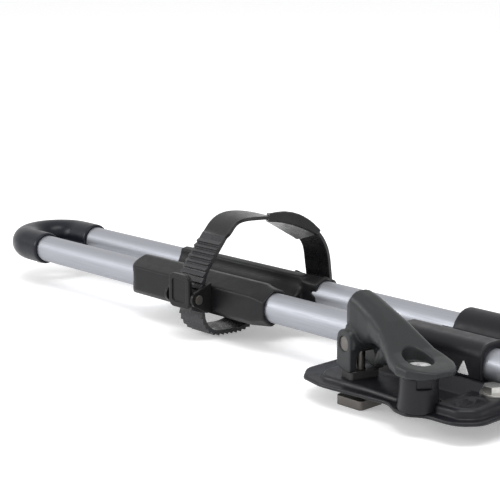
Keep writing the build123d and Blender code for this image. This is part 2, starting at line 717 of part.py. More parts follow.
# Buckle: floor and cheeks, pin, lever with its pawl, spring
with BuildPart() as buckle_base:
    with BuildSketch(Plane.XZ.offset(HOLDER_HALF_WIDTH)):
        with Locations((BUCKLE_X, -1.25)):
            RectangleRounded(2 * CHEEK_OUTSIDE, 18.5, 2)
    extrude(amount=3)
    for x in (BUCKLE_X - CHEEK_OUTSIDE, BUCKLE_X + CHEEK_INSIDE):
        with BuildSketch(across(x, 0, 0)):
            with BuildLine():
                Polyline(
                    (-HOLDER_HALF_WIDTH, -10.5),
                    (-HOLDER_HALF_WIDTH, 10.5),
                    (BUCKLE_PIN_Y - 1, BUCKLE_PIN_Z + 5.4),
                    (BUCKLE_PIN_Y - 1, BUCKLE_PIN_Z - 5.4),
                    (-41, -9.0),
                    close=True,
                )
            make_face()
            with Locations((BUCKLE_PIN_Y, BUCKLE_PIN_Z)):
                Circle(5.5)
        extrude(amount=CHEEK_OUTSIDE - CHEEK_INSIDE)
    with BuildSketch(across(BUCKLE_X - 20, BUCKLE_PIN_Y, BUCKLE_PIN_Z)):
        Circle(BUCKLE_PIN_RADIUS)
    extrude(amount=40, mode=Mode.SUBTRACT)
save_pair(buckle_base, "buckle_base", HOLDER_PLACES)

with BuildPart() as buckle_pin:
    with BuildSketch(across(BUCKLE_X - CHEEK_OUTSIDE, BUCKLE_PIN_Y, BUCKLE_PIN_Z)):
        Circle(BUCKLE_PIN_RADIUS)
    extrude(amount=2 * CHEEK_OUTSIDE)
    for x in (BUCKLE_X - CHEEK_OUTSIDE - 1.2, BUCKLE_X + CHEEK_OUTSIDE):
        with BuildSketch(across(x, BUCKLE_PIN_Y, BUCKLE_PIN_Z)):
            Circle(3.1)
        extrude(amount=1.2)
save_pair(buckle_pin, "buckle_pin", HOLDER_PLACES)

HUB_HALF_WIDTH = 8.0
PAWL_REACH = -43.3
with BuildPart() as buckle_lever:
    with BuildSketch(across(BUCKLE_X - HUB_HALF_WIDTH, 0, 0)):
        with Locations((BUCKLE_PIN_Y, BUCKLE_PIN_Z)):
            Circle(3.15)
        with BuildLine():
            Polyline(
                (BUCKLE_PIN_Y - 3.4, BUCKLE_PIN_Z - 2.5),
                (BUCKLE_PIN_Y, BUCKLE_PIN_Z - 3),
                (PAWL_REACH, BUCKLE_PIN_Z - 1.2),
                (PAWL_REACH, BUCKLE_PIN_Z + 0.4),
                (BUCKLE_PIN_Y, BUCKLE_PIN_Z + 3),
                (BUCKLE_PIN_Y - 2.6, 9),
                (BUCKLE_PIN_Y - 3.4, 9),
                close=True,
            )
        make_face()
    extrude(amount=2 * HUB_HALF_WIDTH)
    with BuildSketch(Plane.XZ.offset(-BUCKLE_PIN_Y + 3.2)):
        with Locations((BUCKLE_X + 1.2, 5.25)):
            RectangleRounded(21, 23.2, 4.5)
    extrude(amount=2.8)
    fillet(buckle_lever.faces().sort_by(Axis.Y)[0].edges(), 1.0)
    with BuildSketch(Plane.XZ.offset(-BUCKLE_PIN_Y + 6.0)):
        with Locations((BUCKLE_X + 1.2, 5.6)):
            RectangleRounded(14, 16, 2.6)
    extrude(amount=-0.7, mode=Mode.SUBTRACT)
    with BuildSketch(across(BUCKLE_X - 20, BUCKLE_PIN_Y, BUCKLE_PIN_Z)):
        Circle(BUCKLE_PIN_RADIUS + RUNNING_FIT)
    extrude(amount=40, mode=Mode.SUBTRACT)
save_pair(buckle_lever, "buckle_lever", HOLDER_PLACES)

with BuildPart() as buckle_spring:
    for turn in range(3):
        with BuildSketch(across(BUCKLE_X + HUB_HALF_WIDTH + 0.5 + turn * 1.1, BUCKLE_PIN_Y, BUCKLE_PIN_Z)):
            Circle(2.9)
            Circle(2.2, mode=Mode.SUBTRACT)
        extrude(amount=0.8)
save_pair(buckle_spring, "buckle_spring", HOLDER_PLACES)

# Frame arm's bracket on the tubes
EAR_INSIDE = 16.0
EAR_OUTSIDE = 22.0
EAR_RADIUS = 13.0
with BuildPart() as arm_bracket:
    with BuildSketch(across(ARM_X - 28, 0, 0)):
        with BuildLine():
            FilletPolyline(
                (-34, 9),
                (-36, 24),
                (-30, 33),
                (30, 33),
                (36, 24),
                (34, 9),
                (28, 6),
                (-28, 6),
                radius=5,
                close=True,
            )
        make_face()
        with Locations((-HALF_SPACING, TUBE_HEIGHT), (HALF_SPACING, TUBE_HEIGHT)):
            Circle(TUBE_RADIUS, mode=Mode.SUBTRACT)
    extrude(amount=56)
    for side in (-EAR_INSIDE, EAR_OUTSIDE):
        with BuildSketch(sideways(side)):
            with BuildLine():
                Polyline((ARM_X - 24, 30), (ARM_X + 24, 30), (ARM_X + 13, ARM_Z), (ARM_X - 13, ARM_Z), close=True)
            make_face()
            with Locations((ARM_X, ARM_Z)):
                Circle(EAR_RADIUS)
        extrude(amount=EAR_OUTSIDE - EAR_INSIDE)
    with BuildSketch(sideways(EAR_INSIDE)):
        with Locations((ARM_X, ARM_Z)):
            Circle(EAR_RADIUS + 4)
    extrude(amount=2 * EAR_INSIDE, mode=Mode.SUBTRACT)
    with BuildSketch(sideways(40)):
        with Locations((ARM_X, ARM_Z)):
            Circle(4.0)
    extrude(amount=80, mode=Mode.SUBTRACT)
    with Locations((ARM_X - 22, 0, 33), (ARM_X + 22, 0, 33)):
        CounterBoreHole(3.2, 6.0, 7, depth=30)
save(arm_bracket, "arm_bracket")

with BuildPart() as arm_bracket_bolts:
    for x in (ARM_X - 22, ARM_X + 22):
        with BuildSketch(Plane.XY.offset(26)):
            with Locations((x, 0)):
                Circle(5.2)
                RegularPolygon(2.6, 6, mode=Mode.SUBTRACT)
        extrude(amount=5.5)
        with BuildSketch(Plane.XY.offset(4.5)):
            with Locations((x, 0)):
                Circle(3.0)
        extrude(amount=21.5)
        with BuildSketch(Plane.XY.offset(1.5)):
            with Locations((x, 0)):
                RegularPolygon(5.8, 6)
        extrude(amount=4.5)
save(arm_bracket_bolts, "arm_bracket_bolts")

with BuildPart() as arm_pivot_bolt:
    with BuildSketch(sideways(EAR_OUTSIDE + 5)):
        with Locations((ARM_X, ARM_Z)):
            Circle(4.0)
    extrude(amount=2 * EAR_OUTSIDE + 8)
    for side in (-EAR_OUTSIDE, EAR_OUTSIDE + 5):
        with BuildSketch(sideways(side)):
            with Locations((ARM_X, ARM_Z)):
                RegularPolygon(7.4, 6)
        extrude(amount=5)
save(arm_pivot_bolt, "arm_pivot_bolt")

# Arm, drawn lying along +X from the pivot
BUSH_RADIUS = 6.0
HUB_WIDTH = 2 * (EAR_INSIDE - GAP)
with BuildPart() as arm_hub:
    with BuildSketch(sideways(HUB_WIDTH / 2)):
        Circle(EAR_RADIUS)
        with Locations((11, 0)):
            Rectangle(22, 2 * EAR_RADIUS)
    extrude(amount=HUB_WIDTH)
    with BuildSketch(across(20, 0, 0)):
        Circle(14.6)
    extrude(amount=26)
    fillet(arm_hub.faces().sort_by(Axis.X)[-1].edges(), 2)
    with BuildSketch(across(ARM_TUBE_START, 0, 0)):
        Circle(ARM_TUBE_RADIUS)
    extrude(amount=40, mode=Mode.SUBTRACT)
    with BuildSketch(sideways(HUB_WIDTH / 2)):
        Circle(BUSH_RADIUS)
    extrude(amount=HUB_WIDTH, mode=Mode.SUBTRACT)
ARM_PLACE = ARM_PLANE.location
save(arm_hub, "arm_hub", ARM_PLACE)

with BuildPart() as arm_bushes:
    for side in (HUB_WIDTH / 2, -2):
        with BuildSketch(sideways(side)):
            Circle(BUSH_RADIUS)
            Circle(4.0 + RUNNING_FIT, mode=Mode.SUBTRACT)
        extrude(amount=HUB_WIDTH / 2 - 2)
save(arm_bushes, "arm_bushes", ARM_PLACE)

with BuildPart() as arm_tube:
    with BuildSketch(across(ARM_TUBE_START, 0, 0)):
        Circle(ARM_TUBE_RADIUS)
        Circle(ARM_TUBE_RADIUS - 2, mode=Mode.SUBTRACT)
    extrude(amount=ARM_TUBE_END - ARM_TUBE_START)
save(arm_tube, "arm_tube", ARM_PLACE)

HEAD_HALF_DEPTH = 14.0
JAW_HALF_DEPTH = 13.0
HOOK = 10.0


def jaw_corners(face, outward):
    """Corners of a jaw seen along its pads: a straight back and a hooked tip over the frame tube."""
    back = face + outward * JAW_THICKNESS
    tip = face - outward * HOOK
    return (
        (HEAD_TOP + GAP, face),
        (HEAD_TOP + 48, face),
        (JAW_END - 8, tip),
        (JAW_END, tip + outward * 4),
        (JAW_END, back - outward * 6),
        (JAW_END - 12, back),
        (HEAD_TOP + GAP, back),
    )


FIXED_FACE = -JAW_GAP / 2 - JAW_PAD
MOVING_FACE = JAW_GAP / 2 + JAW_PAD
with BuildPart() as jaw_head:
    with BuildSketch(Plane.XY.offset(-HEAD_HALF_DEPTH)):
        with BuildLine():
            FilletPolyline(
                (HEAD_START, -22),
                (HEAD_START + 10, HEAD_FIXED_SIDE),
                (HEAD_TOP, HEAD_FIXED_SIDE),
                (HEAD_TOP, HEAD_SCREW_SIDE),
                (HEAD_START + 16, HEAD_SCREW_SIDE),
                (HEAD_START, 22),
                radius=(6, 6, 2, 2, 4, 12),
                close=True,
            )
        make_face()
    extrude(amount=2 * HEAD_HALF_DEPTH)
    with BuildSketch(Plane.XY.offset(-JAW_HALF_DEPTH)):
        with BuildLine():
            Polyline(jaw_corners(FIXED_FACE, -1), close=True)
        make_face()
        with Locations((HEAD_TOP, FIXED_FACE - JAW_THICKNESS / 2)):
            Rectangle(4, JAW_THICKNESS)
    extrude(amount=2 * JAW_HALF_DEPTH)
    with BuildSketch(across(HEAD_START - 20, 0, 0)):
        Circle(16.5)
    extrude(amount=22)
    with BuildSketch(across(HEAD_START - 21, 0, 0)):
        Circle(ARM_TUBE_RADIUS)
    extrude(amount=ARM_TUBE_END - HEAD_START + 21, mode=Mode.SUBTRACT)
    # Guide slot of the moving jaw, and the screw's two journals
    with BuildSketch(Plane.XY.offset(-SLOT_HALF_WIDTH)):
        with Locations((SLOT_FLOOR, -2)):
            Rectangle(HEAD_TOP - SLOT_FLOOR + 1, HEAD_SCREW_SIDE - 4, align=(Align.MIN, Align.MIN))
    extrude(amount=2 * SLOT_HALF_WIDTH, mode=Mode.SUBTRACT)
    with BuildSketch(sideways(HEAD_SCREW_SIDE + 1)):
        with Locations((SCREW_X, 0)):
            Circle(SCREW_RADIUS + RUNNING_FIT)
    extrude(amount=HEAD_SCREW_SIDE + 1 + 16, mode=Mode.SUBTRACT)
save(jaw_head, "jaw_head", ARM_PLACE)

with BuildPart() as moving_jaw:
    with BuildSketch(Plane.XY.offset(-JAW_HALF_DEPTH)):
        with BuildLine():
            Polyline(jaw_corners(MOVING_FACE, 1), close=True)
        make_face()
    extrude(amount=2 * JAW_HALF_DEPTH)
    with BuildSketch(Plane.XY.offset(-SLOT_HALF_WIDTH + RUNNING_FIT)):
        with Locations((SLOT_FLOOR + GAP, MOVING_FACE)):
            Rectangle(HEAD_TOP - SLOT_FLOOR + 4, JAW_THICKNESS, align=(Align.MIN, Align.MIN))
    extrude(amount=2 * (SLOT_HALF_WIDTH - RUNNING_FIT))
    with BuildSketch(sideways(100)):
        with Locations((SCREW_X, 0)):
            Circle(SCREW_RADIUS + GAP)
    extrude(amount=120, mode=Mode.SUBTRACT)
save(moving_jaw, "moving_jaw", ARM_PLACE)

for name, face, outward in (("fixed_jaw_pad", FIXED_FACE, -1), ("moving_jaw_pad", MOVING_FACE, 1)):
    with BuildPart() as jaw_pad:
        with BuildSketch(Plane.XY.offset(-JAW_HALF_DEPTH + 1)):
            with BuildLine():
                Polyline(
                    (HEAD_TOP + 3, face),
                    (HEAD_TOP + 3, face - outward * JAW_PAD),
                    (HEAD_TOP + 24, face - outward * 3),
                    (HEAD_TOP + 44, face - outward * JAW_PAD),
                    (HEAD_TOP + 46, face),
                    close=True,
                )
            make_face()
        extrude(amount=2 * JAW_HALF_DEPTH - 2)
    save(jaw_pad, name, ARM_PLACE)

KNOB_START = HEAD_SCREW_SIDE + GAP
with BuildPart() as clamp_screw:
    with BuildSketch(sideways(KNOB_START + 14)):
        with Locations((SCREW_X, 0)):
            Circle(SCREW_RADIUS)
    extrude(amount=KNOB_START + 14 + 14)
save(clamp_screw, "clamp_screw", ARM_PLACE)

with BuildPart() as clamp_knob:
    with BuildSketch(sideways(KNOB_START + KNOB_LENGTH)):
        with Locations((SCREW_X, 0)):
            Circle(KNOB_RADIUS)
            with PolarLocations(KNOB_RADIUS + 7, 6):
                Circle(11, mode=Mode.SUBTRACT)
    extrude(amount=KNOB_LENGTH - 6)
    chamfer(clamp_knob.faces().sort_by(Axis.Y)[-1].edges(), 1.6)
    with BuildSketch(sideways(KNOB_START + 6)):
        with Locations((SCREW_X, 0)):
            Circle(10)
    extrude(amount=6)
    with BuildSketch(sideways(KNOB_START + 14)):
        with Locations((SCREW_X, 0)):
            Circle(SCREW_RADIUS)
    extrude(amount=15, mode=Mode.SUBTRACT)
    with BuildSketch(sideways(KNOB_START + KNOB_LENGTH)):
        with Locations((SCREW_X, 0)):
            Circle(6.0 + RUNNING_FIT)
    extrude(amount=9, mode=Mode.SUBTRACT)
save(clamp_knob, "clamp_knob", ARM_PLACE)

with BuildPart() as knob_lock:
    with BuildSketch(sideways(KNOB_START + KNOB_LENGTH - 0.5)):
        with Locations((SCREW_X, 0)):
            Circle(6.0)
    extrude(amount=8)
    with BuildSketch(sideways(KNOB_START + KNOB_LENGTH - 0.5)):
        with Locations((SCREW_X, 0)):
            SlotOverall(6.5, 1.6)
    extrude(amount=2.5, mode=Mode.SUBTRACT)
save(knob_lock, "knob_lock", ARM_PLACE)

print("strap route length", round(route.length, 1), "mm with", TOOTH_COUNT, "teeth")
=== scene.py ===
import json
import math

import bmesh
import bpy
from mathutils import Matrix, Vector


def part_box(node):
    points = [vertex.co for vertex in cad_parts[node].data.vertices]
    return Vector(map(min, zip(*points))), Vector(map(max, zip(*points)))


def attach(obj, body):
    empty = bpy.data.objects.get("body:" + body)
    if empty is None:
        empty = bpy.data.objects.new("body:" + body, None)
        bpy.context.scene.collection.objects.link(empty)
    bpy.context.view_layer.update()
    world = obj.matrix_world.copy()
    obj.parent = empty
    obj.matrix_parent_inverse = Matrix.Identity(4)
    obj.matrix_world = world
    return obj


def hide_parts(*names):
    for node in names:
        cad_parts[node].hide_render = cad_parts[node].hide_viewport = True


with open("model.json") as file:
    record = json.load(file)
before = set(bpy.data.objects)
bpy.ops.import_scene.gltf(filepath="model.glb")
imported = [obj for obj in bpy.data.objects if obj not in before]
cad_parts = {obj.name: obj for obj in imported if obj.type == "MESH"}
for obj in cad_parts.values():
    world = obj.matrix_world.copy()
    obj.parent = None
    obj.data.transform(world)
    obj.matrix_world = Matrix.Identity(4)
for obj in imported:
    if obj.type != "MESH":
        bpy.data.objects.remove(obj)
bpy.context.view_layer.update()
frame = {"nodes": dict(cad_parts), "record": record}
NODES = frame["nodes"]
BODIES = frame["record"]["behaviour"]["bodies"]
BODY_OF = {node: body for body, members in BODIES.items() for node in members}
SLOT_OF = {part["node"]: part["material_slot"] for part in frame["record"]["subparts"]}
MM = 0.001
# Each foot's prefix in the nodes' names, and where it stands along the tubes, in metres
FEET = {"rear_": 0.0, "front_": 0.7}
WHITE = (1.0, 1.0, 1.0)


# Materials

def feed(tree, node, inputs):
    """Sets each input to a plain value, or links it to another node's output."""
    for key, value in inputs.items():
        socket = node.inputs[key]
        if isinstance(value, bpy.types.NodeSocket):
            tree.links.new(value, socket)
        elif socket.type == "RGBA":
            socket.default_value = (*value, 1.0)
        else:
            socket.default_value = value


def add_node(tree, kind, inputs, **settings):
    """Adds a shader node, makes its settings, and feeds its inputs."""
    node = tree.nodes.new("ShaderNode" + kind)
    for setting, value in settings.items():
        setattr(node, setting, value)
    feed(tree, node, inputs)
    return node


def toned(colour, factor):
    return tuple(channel * factor for channel in colour)


class Surface:
    """A node material with one shader, and short ways to add the nodes that feed it."""

    def __init__(self, name, roughness, metallic=0.0, specular=0.5):
        self.material = bpy.data.materials.new(name)
        self.material.use_nodes = True
        self.tree = self.material.node_tree
        self.shader = self.tree.nodes["Principled BSDF"]
        finish = {"Roughness": roughness, "Metallic": metallic, "Specular IOR Level": specular}
        feed(self.tree, self.shader, finish)
        self.place = self.add("TexCoord", {}).outputs["Object"]
        self.normal = None

    def add(self, kind, inputs, **settings):
        return add_node(self.tree, kind, inputs, **settings)

    def noise(self, scale, detail, rough, stretch=None):
        """Soft noise from 0 to 1. Its scale is in features per metre."""
        place = self.place
        if stretch:
            place = self.add("Mapping", {"Vector": place, "Scale": stretch}).outputs["Vector"]
        inputs = {"Vector": place, "Scale": scale, "Detail": detail, "Roughness": rough}
        return self.add("TexNoise", inputs).outputs["Fac"]

    def cells(self, scale):
        return self.add("TexVoronoi", {"Vector": self.place, "Scale": scale}).outputs["Distance"]

    def ramp(self, value, span=(0.3, 0.7), to=(0.0, 1.0)):
        """Stretches one span of a value to another, and holds it at both ends."""
        labels = ("Value", "From Min", "From Max", "To Min", "To Max")
        inputs = dict(zip(labels, (value, *span, *to)))
        return self.add("MapRange", inputs).outputs["Result"]

    def edges(self, *span):
        """Share of a place that stands proud, from 0 to 1, for worn and lighter edges."""
        return self.ramp(self.add("NewGeometry", {}).outputs["Pointiness"], span)

    def blend(self, share, first, second):
        """Mixes two colours, each a tuple or another node's output."""
        inputs = {"Factor": share, "A": first, "B": second}
        return self.add("Mix", inputs, data_type="RGBA").outputs["Result"]

    def round_edges(self, radius):
        """Rounds sharp edges in the shading."""
        self.normal = self.add("Bevel", {"Radius": radius}, samples=6).outputs["Normal"]

    def bump(self, pattern, strength, height):
        inputs = {"Height": pattern, "Strength": strength, "Distance": height}
        if self.normal:
            inputs["Normal"] = self.normal
        self.normal = self.add("Bump", inputs).outputs["Normal"]

    def finish(self, colour, roughness):
        inputs = {"Base Color": colour, "Roughness": roughness, "Normal": self.normal}
        feed(self.tree, self.shader, inputs)
        return self.material


def moulded(name, colour, roughness, grain=1.0):
    """Injection-moulded plastic: fine spark grain, faint flow marks, edges rubbed a little lighter."""
    s = Surface(name, roughness, specular=0.20)
    s.round_edges(0.6 * MM)
    s.bump(s.cells(1500), strength=0.25 * grain, height=0.10 * MM)
    s.bump(s.noise(700, detail=4, rough=0.7), strength=0.35 * grain, height=0.15 * MM)
    rubbed = toned(colour, 1.5)
    flow_marks = s.ramp(s.noise(28, detail=3, rough=0.55), span=(0.3, 0.75))
    specks = s.ramp(s.noise(1900, detail=2, rough=0.5), span=(0.55, 0.8), to=(0.0, 0.35))
    body = s.blend(flow_marks, toned(colour, 0.82), colour)
    body = s.blend(specks, body, rubbed)
    body = s.blend(s.edges(0.51, 0.6), body, rubbed)
    shine = s.noise(160, detail=4, rough=0.6)
    return s.finish(body, s.ramp(shine, to=(roughness - 0.05, roughness + 0.07)))


def silver(name):
    """Satin anodised aluminium, drawn along its length."""
    s = Surface(name, 0.48, metallic=0.85)
    streaks = s.noise(60, detail=5, rough=0.65, stretch=(0.4, 24.0, 24.0))
    s.bump(streaks, strength=0.08, height=0.12 * MM)
    s.bump(s.noise(1400, detail=3, rough=0.7), strength=0.08, height=0.08 * MM)
    clouds = s.ramp(s.noise(9, detail=4, rough=0.6), span=(0.45, 0.75), to=(0.0, 0.5))
    body = s.blend(s.ramp(streaks), (0.30, 0.31, 0.34), (0.35, 0.36, 0.39))
    body = s.blend(clouds, body, (0.32, 0.33, 0.36))
    shine = s.noise(220, detail=3, rough=0.6, stretch=(0.15, 4, 4))
    return s.finish(body, s.ramp(shine, to=(0.44, 0.56)))


def powder_coat(name):
    """Black powder coat with its orange-peel skin, thinner on edges."""
    s = Surface(name, 0.30, specular=0.26)
    s.round_edges(0.8 * MM)
    s.bump(s.noise(420, detail=3, rough=0.55), strength=0.22, height=0.22 * MM)
    s.bump(s.cells(900), strength=0.12, height=0.10 * MM)
    patches = s.ramp(s.noise(20, detail=3, rough=0.6))
    body = s.blend(patches, (0.006, 0.006, 0.008), (0.011, 0.011, 0.014))
    body = s.blend(s.edges(0.53, 0.62), body, (0.07, 0.07, 0.067))
    shine = s.noise(90, detail=4, rough=0.6)
    return s.finish(body, s.ramp(shine, to=(0.30, 0.46)))


def rubber_skin(name, colour, roughness, specular=0.2, wear_and_highlight=2.0):
    """Rubber: fine dull grain, dusty specks, and edges lightened by a factor for wear; the strap's
    higher factor also paints highlights on its tooth tips.
    """
    s = Surface(name, roughness, specular=specular)
    s.round_edges(0.4 * MM)
    s.bump(s.noise(1300, detail=4, rough=0.75), strength=0.4, height=0.12 * MM)
    patches = s.ramp(s.noise(40, detail=3, rough=0.6))
    specks = s.ramp(s.noise(900, detail=2, rough=0.5), span=(0.6, 0.85), to=(0.0, 0.3))
    body = s.blend(patches, toned(colour, 0.8), toned(colour, 1.2))
    body = s.blend(specks, body, toned(colour, 2.2))
    # Lighter edges: wear, and on the strap also painted highlights on the tooth tips.
    body = s.blend(s.edges(0.53, 0.64), body, toned(colour, wear_and_highlight))
    shine = s.noise(200, detail=3, rough=0.6)
    return s.finish(body, s.ramp(shine, to=(roughness - 0.08, roughness + 0.08)))


def steel(name, colour, roughness, metallic=1.0):
    """Plated steel: fine turning marks, small patches of duller plating."""
    s = Surface(name, roughness, metallic=metallic)
    s.round_edges(0.4 * MM)
    s.bump(s.noise(1100, detail=4, rough=0.7), strength=0.10, height=0.10 * MM)
    patches = s.ramp(s.noise(120, detail=4, rough=0.65), span=(0.35, 0.7))
    body = s.blend(patches, toned(colour, 0.84), colour)
    shine = s.noise(260, detail=3, rough=0.6)
    return s.finish(body, s.ramp(shine, to=(roughness - 0.08, roughness + 0.10)))


LOOKS = {
    "silver_tube": silver("silver_tube"),
    "loop_plastic": moulded("loop_plastic", (0.008, 0.009, 0.014), 0.32, grain=0.5),
    "dark_plastic": moulded("dark_plastic", (0.009, 0.009, 0.012), 0.40),
    "holder_plastic": moulded("holder_plastic", (0.007, 0.007, 0.008), 0.38),
    "buckle_plastic": moulded("buckle_plastic", (0.006, 0.006, 0.006), 0.34, grain=0.7),
    "lever_plastic": moulded("lever_plastic", (0.027, 0.029, 0.030), 0.36),
    "bush_plastic": moulded("bush_plastic", (0.45, 0.45, 0.42), 0.5),
    "black_steel": powder_coat("black_steel"),
    "rubber": rubber_skin("rubber", (0.012, 0.012, 0.012), 0.70),
    # The strap's edges are lightened more than other rubber: wear, and painted highlights on the tooth
    # tips.
    "strap_rubber": rubber_skin("strap_rubber", (0.008, 0.008, 0.009), 0.30, specular=0.36, wear_and_highlight=3.0),
    "mark_paint": rubber_skin("mark_paint", (0.62, 0.62, 0.62), 0.5),
    "bright_steel": steel("bright_steel", (0.58, 0.57, 0.54), 0.34),
    "dull_steel": steel("dull_steel", (0.16, 0.15, 0.14), 0.46),
    # The lock's light, half-metallic colour paints the glint of its face in the pad's dish as a bright
    # disc.
    "lock_metal": steel("lock_metal", (0.86, 0.86, 0.86), 0.42, metallic=0.5),
}


# Pieces and their nodes

def dress(obj, look):
    obj.data.materials.clear()
    obj.data.materials.append(LOOKS[look])


def stand_in(node, obj):
    """obj takes the place, body and finish of a CAD node."""
    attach(obj, BODY_OF[node])
    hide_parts(node)
    dress(obj, SLOT_OF[node])


def new_object(name, mesh):
    obj = bpy.data.objects.new(name, mesh)
    bpy.context.scene.collection.objects.link(obj)
    return obj


def copy_of(node, name):
    return new_object(name, NODES[node].data.copy())


# Meshes. Outlines, solids and voxels are given in millimetres.

CORNER_STEPS = 7
EDGE_STEPS = 4


def bake(obj):
    """Applies an object's modifiers to its mesh."""
    bpy.context.view_layer.update()
    graph = bpy.context.evaluated_depsgraph_get()
    result = bpy.data.meshes.new_from_object(obj.evaluated_get(graph))
    obj.modifiers.clear()
    obj.data = result


def shade_smooth(mesh):
    for polygon in mesh.polygons:
        polygon.use_smooth = True


def melt(obj, voxel, rounds, keep=1.0):
    """Turns a solid into one even skin with its edges and inner corners rounded off."""
    remesh = obj.modifiers.new("remesh", "REMESH")
    remesh.mode = "VOXEL"
    remesh.voxel_size = voxel * MM
    smooth = obj.modifiers.new("smooth", "SMOOTH")
    smooth.factor = 0.5
    smooth.iterations = rounds
    if keep < 1.0:
        thin = obj.modifiers.new("thin", "DECIMATE")
        thin.ratio = keep
    bake(obj)
    shade_smooth(obj.data)


def carve(obj, added=(), removed=()):
    """Adds and takes away solids, which are used up."""
    for operation, tools in (("UNION", added), ("DIFFERENCE", removed)):
        for tool in tools:
            change = obj.modifiers.new(tool.name, "BOOLEAN")
            change.solver = "EXACT"
            change.operation = operation
            change.object = tool
    bake(obj)
    for tool in (*added, *removed):
        bpy.data.objects.remove(tool)


def skin(name, rings, joined=False):
    """Closed skin over a row of equal rings: the last one joins the first, or both ends are capped."""
    bm = bmesh.new()
    loops = [[bm.verts.new(Vector(point) * MM) for point in ring] for ring in rings]
    following = loops[1:] + loops[:1] if joined else loops[1:]
    for a, b in zip(loops, following):
        for k in range(len(a)):
            bm.faces.new((a[k], a[(k + 1) % len(a)], b[(k + 1) % len(a)], b[k]))
    if not joined:
        bm.faces.new(loops[0])
        bm.faces.new(loops[-1])
    bmesh.ops.recalc_face_normals(bm, faces=bm.faces)
    mesh = bpy.data.meshes.new(name)
    bm.to_mesh(mesh)
    bm.free()
    return new_object(name, mesh)


def rounded(corners, steps=CORNER_STEPS):
    """Closed line through corners given as x, y and the radius of the arc there."""
    places = [Vector((x, y)) for x, y, _ in corners]
    points = []
    for k, here in enumerate(places):
        radius = corners[k][2]
        if not radius:
            points.append(here)
            continue
        before = (places[k - 1] - here).normalized()
        after = (places[(k + 1) % len(places)] - here).normalized()
        half_turn = before.angle(after) / 2
        centre = here + (before + after).normalized() * radius / math.sin(half_turn)
        start = here + before * radius / math.tan(half_turn) - centre
        end = here + after * radius / math.tan(half_turn) - centre
        for step in range(steps + 1):
            points.append(centre + start.lerp(end, step / steps).normalized() * radius)
    return points


def disc(centre, radius, sides=64):
    points = []
    for k in range(sides):
        angle = 2 * math.pi * k / sides
        points.append(Vector(centre) + radius * Vector((math.cos(angle), math.sin(angle))))
    return points


def slab(centre, length, width, radius=0.0, turned=0.0):
    """Rectangle about a centre, with rounded corners, turned by an angle in degrees."""
    a, b = length / 2, width / 2
    flat = rounded([(-a, -b, radius), (a, -b, radius), (a, b, radius), (-a, b, radius)])
    turn = Matrix.Rotation(math.radians(turned), 2)
    return [Vector(centre) + turn @ p for p in flat]


def inset(points, distance):
    """Moves a counterclockwise line inwards."""
    moved = []
    for k, here in enumerate(points):
        ahead = (points[(k + 1) % len(points)] - points[k - 1]).normalized()
        moved.append(here + Vector((-ahead.y, ahead.x)) * distance)
    return moved


def block(name, outline, low, high, edge=0.0):
    """Raises an outline from low to high, and rounds its upper edge by a radius."""
    rings = [[(p.x, p.y, low) for p in outline]]
    steps = EDGE_STEPS if edge else 0
    for step in range(steps + 1):
        angle = math.pi / 2 * step / max(steps, 1)
        drawn_in = edge * (1 - math.cos(angle))
        height = high - edge * (1 - math.sin(angle))
        rings.append([(p.x, p.y, height) for p in inset(outline, drawn_in)])
    return skin(name, rings)


# Tubes

TUBE_WALL = 1.5
TUBE_BEVEL = 0.4
TUBE_SIDES = 96
TUBE_CREASE = math.radians(35)


def make_tubes():
    """The two drawn tubes, each with its wall and a small bevel round both ends."""
    for node in ("near_tube", "far_tube"):
        low, high = (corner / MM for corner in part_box(node))
        middle = (low + high) / 2
        outer = (high.z - low.z) / 2
        inner = outer - TUBE_WALL
        profile = (
            (low.x, inner), (low.x, outer - TUBE_BEVEL), (low.x + TUBE_BEVEL, outer),
            (high.x - TUBE_BEVEL, outer), (high.x, outer - TUBE_BEVEL), (high.x, inner),
        )
        rings = [
            [(x, p.x, p.y) for p in disc((middle.y, middle.z), radius, TUBE_SIDES)]
            for x, radius in profile
        ]
        tube = skin(node + "_drawn", rings, joined=True)
        shade_smooth(tube.data)
        tube.data.set_sharp_from_angle(angle=TUBE_CREASE)
        stand_in(node, tube)


# Foot. Millimetres: x along the tubes from the rear foot's bolts, y across them, z up from the roof bar.
# Slabs are given by centre, length, width, corner radius and turn in degrees.

BOLT_Y = -61.0
LEVER_TURN = math.radians(-14.7)
LOCK_REACH = 58.5
POST_X = LOCK_REACH * math.cos(LEVER_TURN)
POST_Y = BOLT_Y + LOCK_REACH * math.sin(LEVER_TURN)
PLATE_BODY_TOP = 6.5
ABOVE = 60.0    # cutters that are open at the top end here
BELOW = -5.0    # and those that are open at the bottom start here


def turn_to_lever(obj):
    """Turns a piece to the lever's direction and sets it over the near T-bolt."""
    over_bolt = Matrix.Translation((0, BOLT_Y * MM, 0))
    obj.data.transform(over_bolt @ Matrix.Rotation(LEVER_TURN, 4, "Z"))


# The lever is drawn straight, by reach from its pivot, depth across it and height.
# Cross-sections of its fin: reach, bottom, top, half width and how far it stands aside
FIN_SECTIONS = (
    (-4.6, 31.0, 50.0, 6.0, 0.0), (-3.4, 27.0, 55.0, 7.8, 0.2), (0.5, 26.0, 58.6, 8.9, 0.5),
    (8.0, 28.0, 56.2, 9.4, 1.7), (18.0, 30.4, 52.0, 10.1, 2.8), (30.0, 29.4, 46.4, 11.5, 3.1),
    (40.0, 26.8, 40.6, 13.6, 2.5), (50.0, 24.8, 34.8, 16.2, 1.4), (59.0, 24.2, 32.0, 17.8, 1.4),
    (66.5, 24.4, 30.8, 16.6, 1.6), (71.8, 24.8, 30.2, 13.4, 2.0), (75.4, 25.4, 29.6, 9.6, 2.4),
    (77.8, 26.2, 29.0, 5.2, 2.6),
)
